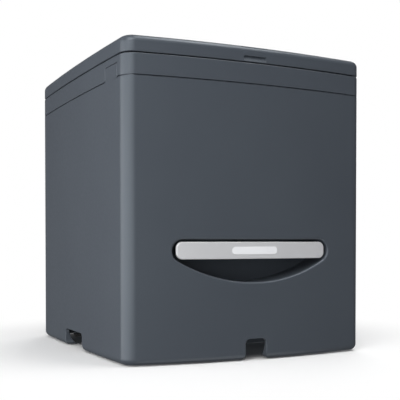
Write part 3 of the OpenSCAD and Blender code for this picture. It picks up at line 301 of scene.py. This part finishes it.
def wall_smoother():
    """Gives the bowed walls and front corners of the shells the normals of their true curves."""
    # The outline at the seam: front corners, sides that swell out furthest well behind them, bowed rear.
    half_width, corner_depth, rear_depth = 0.1842, -0.203725, 0.201075
    swell, swell_behind, rear_bow = 0.0109, 0.310, 0.004
    # The walls lean out above the seam, and the bow of the front shrinks from the floor to the seam.
    seam_height, lean = 0.3712, math.tan(math.radians(0.7))
    bow_top, bow_floor = 0.0126, 0.0164
    # The front corners turn about a point that lies a little nearer to both walls than a plain radius.
    corner_radius, middle_across, middle_along, corner_likeness = 0.019, 0.94, 0.88, 0.97
    # Where the rounding of the lid's upper and of the tub's lower edge starts, and its radius.
    lid_edge, lid_round, floor_edge, floor_round = 0.4148, 0.0092, 0.0096, 0.0084
    # A point counts as lying on a wall when it is this near to the wall's curve.
    on_wall = 0.00009
    rear_radius = (half_width ** 2 + rear_bow ** 2) / (2 * rear_bow)
    side_radius = (swell_behind ** 2 + swell ** 2) / (2 * swell)
    group = bpy.data.node_groups.new("wall smoother", "GeometryNodeTree")
    group.interface.new_socket("Geometry", in_out="INPUT", socket_type="NodeSocketGeometry")
    group.interface.new_socket("Geometry", in_out="OUTPUT", socket_type="NodeSocketGeometry")
    into = group.nodes.new("NodeGroupInput")
    out = group.nodes.new("NodeGroupOutput")

    def sums(kind, first, second=0.0, third=None):
        """One sum of two or three numbers or fields."""
        step = group.nodes.new("ShaderNodeMath")
        step.operation = kind
        for socket, value in zip(step.inputs, (first, second, third)):
            if isinstance(value, float):
                socket.default_value = value
            elif value is not None:
                group.links.new(value, socket)
        return step.outputs[0]

    def direction(x, y, z):
        """The unit vector along x, y, z."""
        join = group.nodes.new("ShaderNodeCombineXYZ")
        for socket, value in zip(join.inputs, (x, y, z)):
            if isinstance(value, float):
                socket.default_value = value
            else:
                group.links.new(value, socket)
        unit = group.nodes.new("ShaderNodeVectorMath")
        unit.operation = "NORMALIZE"
        group.links.new(join.outputs[0], unit.inputs[0])
        return unit.outputs[0]

    def squared(value):
        """The square of a number or field."""
        return sums("MULTIPLY", value, value)

    def on_circle(radius, aside):
        """How far a circle's point lies from its middle line, when it lies aside by that much."""
        return sums("SQRT", sums("SUBTRACT", squared(radius), squared(aside)))

    place = group.nodes.new("GeometryNodeInputPosition")
    parts = group.nodes.new("ShaderNodeSeparateXYZ")
    group.links.new(place.outputs[0], parts.inputs[0])
    x, y, z = parts.outputs
    across = sums("ABSOLUTE", x)
    facing = sums("SIGN", x)
    leaned = sums("MULTIPLY", sums("SUBTRACT", z, seam_height), lean)
    over_edge = sums("MAXIMUM", sums("DIVIDE", sums("SUBTRACT", z, lid_edge), lid_round), 0.0)
    under_edge = sums("MAXIMUM", sums("DIVIDE", sums("SUBTRACT", floor_edge, z), floor_round), 0.0)
    tilt = sums("MINIMUM", sums("SUBTRACT", over_edge, under_edge), 1.0)
    upright = sums("SQRT", sums("MAXIMUM", sums("SUBTRACT", 1.0, squared(tilt)), 0.0))
    edge_radius = sums(
        "MULTIPLY_ADD", sums("SIGN", tilt), (lid_round - floor_round) / 2, (lid_round + floor_round) / 2)
    drawn_in = sums("MULTIPLY", sums("SUBTRACT", 1.0, upright), edge_radius)

    def rounded(wall):
        """The normal of a wall, turned up or down where its upper or lower edge is rounded."""
        flat = group.nodes.new("ShaderNodeVectorMath")
        flat.operation = "SCALE"
        group.links.new(wall, flat.inputs[0])
        group.links.new(upright, flat.inputs["Scale"])
        turned = group.nodes.new("ShaderNodeVectorMath")
        turned.operation = "ADD"
        group.links.new(flat.outputs[0], turned.inputs[0])
        lift = group.nodes.new("ShaderNodeCombineXYZ")
        group.links.new(tilt, lift.inputs["Z"])
        group.links.new(lift.outputs[0], turned.inputs[1])
        return turned.outputs[0]

    half = sums("ADD", leaned, half_width)
    bow_change = (bow_top - bow_floor) / seam_height
    bow = sums("MULTIPLY_ADD", z, bow_change, bow_floor)
    outward = sums("DIVIDE", x, half)
    inner = sums("SUBTRACT", 1.0, squared(outward))
    front_radius = sums(
        "DIVIDE", sums("MULTIPLY_ADD", half, half, squared(bow)), sums("ADD", bow, bow))
    front = direction(
        sums("DIVIDE", x, front_radius), -1.0, sums("MULTIPLY_ADD", inner, -bow_change, -lean))
    corner_line = sums("SUBTRACT", corner_depth, leaned)
    front_y = sums(
        "SUBTRACT", sums("ADD", corner_line, front_radius),
        sums("ADD", bow, on_circle(sums("SUBTRACT", front_radius, drawn_in), x)))
    along = sums("SUBTRACT", y, sums("ADD", corner_line, swell_behind))
    side = direction(facing, sums("DIVIDE", along, side_radius), -lean)
    side_x = sums(
        "ADD", sums("ADD", half, swell - side_radius),
        on_circle(sums("SUBTRACT", side_radius, drawn_in), along))
    rear = direction(sums("DIVIDE", x, rear_radius), 1.0, -lean)
    rear_y = sums(
        "ADD", sums("ADD", leaned, rear_depth - rear_radius),
        on_circle(sums("SUBTRACT", rear_radius, drawn_in), x))
    round_x = sums("SUBTRACT", across, sums("SUBTRACT", half, middle_across * corner_radius))
    round_y = sums("SUBTRACT", y, sums("ADD", corner_line, middle_along * corner_radius))
    corner = direction(
        sums("MULTIPLY", round_x, facing), round_y,
        sums("MULTIPLY", sums("ABSOLUTE", round_x), -lean))
    normal = group.nodes.new("GeometryNodeInputNormal")

    def near(value, target, room):
        """1 where the value lies within room of the target."""
        return sums("LESS_THAN", sums("ABSOLUTE", sums("SUBTRACT", value, target)), room)

    alike = group.nodes.new("ShaderNodeVectorMath")
    alike.operation = "DOT_PRODUCT"
    group.links.new(rounded(corner), alike.inputs[0])
    group.links.new(normal.outputs["True Normal"], alike.inputs[1])
    beside = sums("MULTIPLY", sums("GREATER_THAN", round_x, 0.0), sums("LESS_THAN", round_y, 0.0))
    on_corner = sums("MULTIPLY", beside, sums("GREATER_THAN", alike.outputs["Value"], corner_likeness))
    result = normal.outputs["Normal"]
    for curve, use in (
        (corner, on_corner), (rear, near(y, rear_y, on_wall)),
        (side, near(across, side_x, on_wall)), (front, near(y, front_y, on_wall)),
    ):
        pick = group.nodes.new("GeometryNodeSwitch")
        pick.input_type = "VECTOR"
        group.links.new(use, pick.inputs["Switch"])
        group.links.new(result, pick.inputs["False"])
        group.links.new(rounded(curve), pick.inputs["True"])
        result = pick.outputs[0]
    bend = group.nodes.new("GeometryNodeSetMeshNormal")
    bend.mode = "FREE"
    bend.domain = "CORNER"
    group.links.new(into.outputs["Geometry"], bend.inputs[0])
    group.links.new(result, bend.inputs["Custom Normal"])
    group.links.new(bend.outputs[0], out.inputs["Geometry"])
    return group


wall_group = wall_smoother()


def soften(piece, radius_mm, material, steps=3, box=None, box_radius_mm=None):
    """Gives a CAD piece its material and rounds its real edges. Edges inside box get box_radius_mm."""
    real_edge, same_plane = math.radians(32.0), math.radians(0.3)
    least_mm, nowhere = 0.1, (9.0, 9.0, 9.0)
    piece.data.materials.clear()
    piece.data.materials.append(material)
    for face in piece.data.polygons:
        face.material_index = 0
    largest = max(radius_mm, box_radius_mm or 0.0, least_mm)
    low, high = box or (nowhere, nowhere)
    find = piece.modifiers.new("edges", "NODES")
    find.node_group = edge_group
    # The bevel below has the largest radius, and each edge takes its share of it as a weight.
    values = {
        "Angle": real_edge, "Weight": radius_mm / largest,
        "Box weight": (box_radius_mm or radius_mm) / largest, "Box low": low, "Box high": high,
    }
    for item in edge_group.interface.items_tree:
        if item.in_out == "INPUT" and item.name in values:
            find[item.identifier] = values[item.name]
    flats = piece.modifiers.new("flats", "DECIMATE")
    flats.decimate_type = "DISSOLVE"
    flats.angle_limit = same_plane
    if radius_mm > 0:
        bevel = piece.modifiers.new("radii", "BEVEL")
        bevel.limit_method = "WEIGHT"
        bevel.width = largest / 1000.0
        bevel.segments = steps
        bevel.use_clamp_overlap = False
    shade = piece.modifiers.new("shading", "WEIGHTED_NORMAL")
    shade.weight = 80
    shade.keep_sharp = False


shell_plastic = moulding(
    "shell_plastic", (0.054, 0.0625, 0.076), (0.058, 0.0675, 0.081),
    rough=0.36, grain_mm=0.6, depth=0.02, specular=0.5, sheen=(0.84, 0.93, 1.0))
recess = ((-0.125, -0.30, 0.095), (0.125, -0.19, 0.165))
soften(cad["base_tub"], 0.7, shell_plastic, box=recess, box_radius_mm=3.2)
cad["base_tub"].modifiers.new("walls", "NODES").node_group = wall_group

# ---------------------------------------------------------------- feet, seals and bumpers
# Soft black rubber, pressed into their places: the feet, the bin's rim seal, the shaft seal, the trap
# seal, and the lid's ring and its four bumpers.
rubber = moulding(
    "seal_rubber", (0.010, 0.010, 0.012), (0.016, 0.016, 0.018),
    rough=0.72, grain_mm=0.35, depth=0.4, specular=0.4)
for name in ("rubber_feet", "bin_seal", "shaft_seal", "trap_seal", "lid_bumpers"):
    soften(cad[name], 0.4, rubber)
soften(cad["lid_seal"], 0.0, rubber)

# ---------------------------------------------------------------- handle
# The bar is a satin anodised plate with a chamfered border, screwed to a dark moulded grip, and a thin
# bare plate lies on its face. A turned steel stem carries them through the tub's bush to the agitator.


def brushed_lines():
    """Shared effect: fine lines left by brushing or turning, stretched along one way."""
    line_height, clouds_per_metre = 0.00006, 25.0
    group = bpy.data.node_groups.new("brushed lines", "ShaderNodeTree")
    group.interface.new_socket("Lines per metre", in_out="INPUT", socket_type="NodeSocketVector")
    group.interface.new_socket("Depth", in_out="INPUT", socket_type="NodeSocketFloat")
    group.interface.new_socket("Normal", in_out="OUTPUT", socket_type="NodeSocketVector")
    for name in ("Line", "Tone"):
        group.interface.new_socket(name, in_out="OUTPUT", socket_type="NodeSocketFloat")
    into = group.nodes.new("NodeGroupInput")
    out = group.nodes.new("NodeGroupOutput")
    place = group.nodes.new("ShaderNodeTexCoord")
    stretch = group.nodes.new("ShaderNodeVectorMath")
    stretch.operation = "MULTIPLY"
    lines = group.nodes.new("ShaderNodeTexNoise")
    lines.inputs["Scale"].default_value = 1.0
    lines.inputs["Detail"].default_value = 3.0
    clouds = group.nodes.new("ShaderNodeTexNoise")
    clouds.inputs["Scale"].default_value = clouds_per_metre
    bump = group.nodes.new("ShaderNodeBump")
    bump.inputs["Distance"].default_value = line_height
    group.links.new(place.outputs["Object"], stretch.inputs[0])
    group.links.new(into.outputs["Lines per metre"], stretch.inputs[1])
    group.links.new(stretch.outputs[0], lines.inputs["Vector"])
    group.links.new(place.outputs["Object"], clouds.inputs["Vector"])
    group.links.new(lines.outputs["Fac"], bump.inputs["Height"])
    group.links.new(into.outputs["Depth"], bump.inputs["Strength"])
    group.links.new(bump.outputs["Normal"], out.inputs["Normal"])
    group.links.new(lines.outputs["Fac"], out.inputs["Line"])
    group.links.new(clouds.outputs["Fac"], out.inputs["Tone"])
    return group


brush_group = brushed_lines()


def metal(name, deep, pale, rough, lines, depth, metallic=1.0):
    """A bare or painted metal with fine lines in it. Its tone drifts from deep to pale."""
    gloss_drift = 0.15
    material = bpy.data.materials.new(name)
    material.use_nodes = True
    tree = material.node_tree
    shader = tree.nodes["Principled BSDF"]
    shader.inputs["Metallic"].default_value = metallic
    effect = tree.nodes.new("ShaderNodeGroup")
    effect.node_tree = brush_group
    effect.inputs["Lines per metre"].default_value = lines
    effect.inputs["Depth"].default_value = depth
    tone = tree.nodes.new("ShaderNodeMix")
    tone.data_type = "RGBA"
    tone.inputs["A"].default_value = (*deep, 1.0)
    tone.inputs["B"].default_value = (*pale, 1.0)
    gloss = tree.nodes.new("ShaderNodeMapRange")
    gloss.inputs["From Min"].default_value = noise_low
    gloss.inputs["From Max"].default_value = noise_high
    gloss.inputs["To Min"].default_value = rough * (1.0 - gloss_drift)
    gloss.inputs["To Max"].default_value = rough * (1.0 + gloss_drift)
    tree.links.new(effect.outputs["Tone"], tone.inputs["Factor"])
    tree.links.new(tone.outputs["Result"], shader.inputs["Base Color"])
    tree.links.new(effect.outputs["Line"], gloss.inputs["Value"])
    tree.links.new(gloss.outputs["Result"], shader.inputs["Roughness"])
    tree.links.new(effect.outputs["Normal"], shader.inputs["Normal"])
    return material


silver = metal(
    "handle_silver", (0.64, 0.645, 0.66), (0.68, 0.685, 0.70),
    rough=0.42, lines=(60.0, 4000.0, 4000.0), depth=0.12, metallic=0.35)
steel = metal(
    "turned_steel", (0.46, 0.47, 0.49), (0.60, 0.61, 0.63),
    rough=0.30, lines=(3000.0, 60.0, 3000.0), depth=0.3)
dark_grip = moulding(
    "dark_grip", (0.040, 0.043, 0.050), (0.048, 0.051, 0.059),
    rough=0.55, grain_mm=0.5, depth=0.3, specular=0.4)
bush_plastic = moulding(
    "bush_plastic", (0.62, 0.61, 0.56), (0.70, 0.69, 0.64),
    rough=0.42, grain_mm=0.8, depth=0.1, specular=0.5)
soften(cad["handle_bar"], 1.5, silver, steps=2)


def blank_plate():
    """A thin, bare plate with round ends on the bowed face of the bar, sunk a little into it."""
    left, right_end, bottom, top = -0.0356, 0.0337, 0.1409, 0.1510
    proud, rim, sunk = 0.00022, 0.00010, 0.0005
    bar_front, face_radius = -0.214886, 1.1105
    end_radius = (top - bottom) / 2
    end_steps, side_steps = 10, 14
    left_middle, right_middle = left + end_radius, right_end - end_radius
    turns = [math.pi / 2 * step / end_steps for step in range(end_steps + 1)]
    straight = right_middle - left_middle
    places = [(left_middle - end_radius * math.cos(turn), math.sin(turn)) for turn in turns[:-1]]
    places += [(left_middle + straight * step / side_steps, 1.0) for step in range(side_steps)]
    places += [(right_middle + end_radius * math.sin(turn), math.cos(turn)) for turn in turns]
    edge = [(x, -tall) for x, tall in places] + [(x, tall) for x, tall in reversed(places[1:-1])]
    shape = bmesh.new()
    rings = []
    for drawn_in, lift in ((0.0, -sunk), (0.0, proud - rim), (rim, proud)):
        share = 1.0 - drawn_in / end_radius
        ring = []
        for x, tall in edge:
            middle_x = min(max(x, left_middle), right_middle)
            x = middle_x + (x - middle_x) * share
            y = bar_front + x * x / (2.0 * face_radius) - lift
            ring.append(shape.verts.new((x, y, bottom + end_radius * (1.0 + tall * share))))
        rings.append(ring)
    for outer, inner in zip(rings, rings[1:]):
        for step in range(len(edge)):
            after = (step + 1) % len(edge)
            shape.faces.new((outer[step], outer[after], inner[after], inner[step]))
    for ring in (rings[0], rings[-1]):
        for step in range(len(places) - 1):
            corners = [ring[step], ring[step + 1], ring[-step - 1], ring[-step]]
            shape.faces.new(list(dict.fromkeys(corners)))
    bmesh.ops.recalc_face_normals(shape, faces=shape.faces)
    mesh = bpy.data.meshes.new("blank_plate")
    shape.to_mesh(mesh)
    shape.free()
    return bpy.data.objects.new("blank_plate", mesh)


plate_white = moulding(
    "plate_white", (0.76, 0.77, 0.79), (0.80, 0.81, 0.83),
    rough=0.5, grain_mm=0.4, depth=0.05, specular=0.4)
plate = blank_plate()
plate.data.materials.append(plate_white)
scene.collection.objects.link(plate)
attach(plate, "handle")
soften(cad["handle_grip"], 0.0, dark_grip)
soften(cad["handle_stem"], 0.3, steel)
soften(cad["stem_bush"], 0.5, bush_plastic)

# ---------------------------------------------------------------- solids bin and agitator
# The bin is a plain black moulding with a trough for the paddles. The agitator is a steel tube in two
# plastic bushes, and its paddles are pale plastic, clamped on the tube.
black_plastic = moulding(
    "black_plastic", (0.021, 0.023, 0.027), (0.029, 0.031, 0.035),
    rough=0.48, grain_mm=0.6, depth=0.3, specular=0.45)
soften(cad["solids_bin"], 0.8, black_plastic)
soften(cad["front_shaft_bush"], 0.4, bush_plastic)
soften(cad["rear_shaft_bush"], 0.4, bush_plastic)
soften(cad["agitator_shaft"], 0.3, steel)
soften(cad["agitator_paddles"], 0.8, bush_plastic)

# ---------------------------------------------------------------- liquid bottle
# A blow-moulded bottle in milky polythene, with a channel astride the handle's stem and a grip on each
# shoulder.
milky = moulding(
    "milky_polythene", (0.70, 0.74, 0.73), (0.78, 0.81, 0.80),
    rough=0.36, grain_mm=1.5, depth=0.2, specular=0.5, see_through=0.25)
soften(cad["liquid_bottle"], 1.6, milky)

# ---------------------------------------------------------------- seat housing, bowl and trap
# The housing is moulded like the tub. The bowl, its spout and the trap are glossy white mouldings, and
# the flap turns on a steel pin with its lever beside the seat opening.
bowl_white = moulding(
    "bowl_white", (0.70, 0.72, 0.71), (0.74, 0.76, 0.75),
    rough=0.22, grain_mm=3.0, depth=0.05, specular=0.5, coat=0.2)
soften(cad["seat_housing"], 0.7, shell_plastic)
cad["seat_housing"].modifiers.new("walls", "NODES").node_group = wall_group
soften(cad["diverter_bowl"], 0.6, bowl_white)
soften(cad["bowl_spout"], 0.4, bowl_white)
soften(cad["trap_brackets"], 0.2, bowl_white)
soften(cad["trap_flap"], 0.0, bowl_white)
soften(cad["trap_pin"], 0.3, steel)
soften(cad["trap_lever"], 0.8, silver)

# ---------------------------------------------------------------- lid
# The lid is a shallow moulding in the same plastic, with a finger notch under its front edge.
soften(cad["lid"], 0.3, shell_plastic)
cad["lid"].modifiers.new("walls", "NODES").node_group = wall_group

# ---------------------------------------------------------------- hinges
# Two pressed and painted hinges with three leaves each, steel pins with heads, and pan head screws.
hinge_paint = metal(
    "hinge_paint", (0.038, 0.042, 0.049), (0.050, 0.055, 0.063),
    rough=0.42, lines=(900.0, 900.0, 900.0), depth=0.25, metallic=0.0)
for name in ("tub_hinge_leaves", "seat_hinge_leaves", "lid_hinge_leaves"):
    soften(cad[name], 0.5, hinge_paint)
for name in ("tub_hinge_pins", "lid_hinge_pins"):
    soften(cad[name], 0.3, steel)
for name in ("tub_hinge_screws", "seat_hinge_screws", "lid_hinge_screws"):
    soften(cad[name], 0.25, steel)

# ---------------------------------------------------------------- fan, filter and vent
# An axial fan with its filter is screwed inside the back of the tub and blows through the vent collar.
# The power inlet is held by a steel nut.
carbon = moulding(
    "carbon_foam", (0.006, 0.006, 0.006), (0.016, 0.016, 0.016),
    rough=0.9, grain_mm=1.2, depth=1.0, specular=0.2)
for name in ("fan_frame", "fan_impeller", "filter_cassette", "power_inlet"):
    soften(cad[name], 0.4, black_plastic)
soften(cad["fan_lead"], 0.0, black_plastic)
soften(cad["filter_pad"], 0.0, carbon)
soften(cad["vent_collar"], 0.6, dark_grip)
for name in ("fan_screws", "collar_screws", "inlet_nut"):
    soften(cad[name], 0.25, steel)
